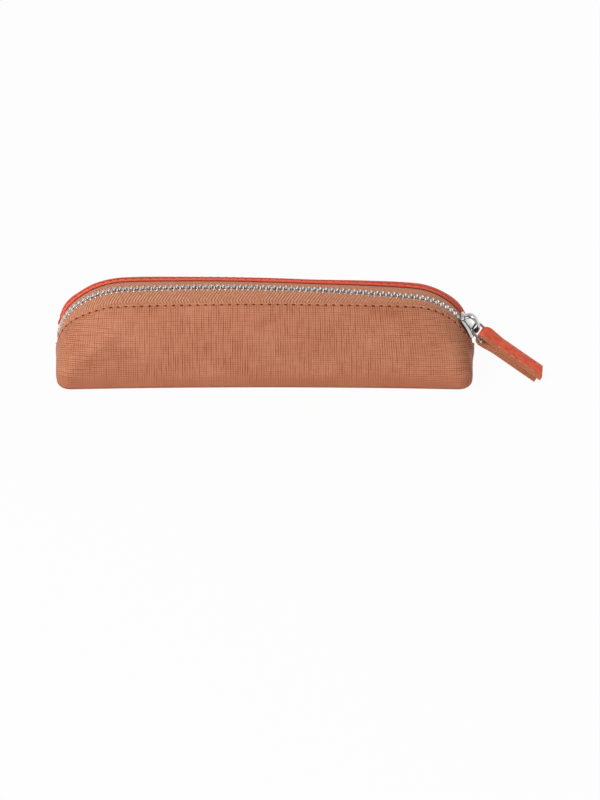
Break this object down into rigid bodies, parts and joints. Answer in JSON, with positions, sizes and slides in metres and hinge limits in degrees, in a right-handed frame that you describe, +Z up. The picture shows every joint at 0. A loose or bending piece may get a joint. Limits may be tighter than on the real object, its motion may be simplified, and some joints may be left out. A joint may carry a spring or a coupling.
{
  "type": "pen case",
  "caption": "Slim pen case with a flat base, a rounded zip-up top in two leather colours, a metal zip and a folded strap pull on a wire link.",
  "frame": {"origin": "middle of the flat base's underside", "axes": "+Z up, +X along the case towards the closed end of the zip with its slider, -Y the front panel's side"},
  "size_m": [0.2332, 0.0461, 0.0447],
  "materials": {
    "tan_leather": "finely cross-hatched emboss, satin",
    "coral_leather": "finely cross-hatched emboss, satin",
    "lining_cloth": "plain weave",
    "zip_tape": "herringbone tape",
    "nickel": "polished nickel"
  },
  "bodies": {
    "case": {"front_panel": "tan_leather", "back_panel": "coral_leather", "front_lining": "lining_cloth", "back_lining": "lining_cloth", "front_stringer": "zip_tape", "back_stringer": "zip_tape", "front_top_stop": "nickel", "back_top_stop": "nickel", "bottom_stop": "nickel"},
    "slider": {"slider_body": "nickel", "slider_bridge": "nickel"},
    "link": {"pull_link": "nickel"},
    "strap": {"strap_lining": "tan_leather", "strap_face": "coral_leather"}
  },
  "joints": [
    {"name": "slider_travel", "type": "hinge", "parent": "case", "child": "slider", "pos_m": [0.06829, 0, 0.00752], "axis": [0, -1, 0], "range_deg": [0, 52], "deforming": ["front_stringer", "back_stringer"]},
    {"name": "link_swing", "type": "hinge", "parent": "slider", "child": "link", "pos_m": [0.0997, 0, 0.02312], "axis": [-0.342, -0.9397, 0], "range_deg": [-15, 100]},
    {"name": "strap_swing", "type": "hinge", "parent": "link", "child": "strap", "pos_m": [0.10478, -0.00185, 0.01807], "axis": [-0.342, -0.9397, 0], "range_deg": [-35, 60]}
  ]
}
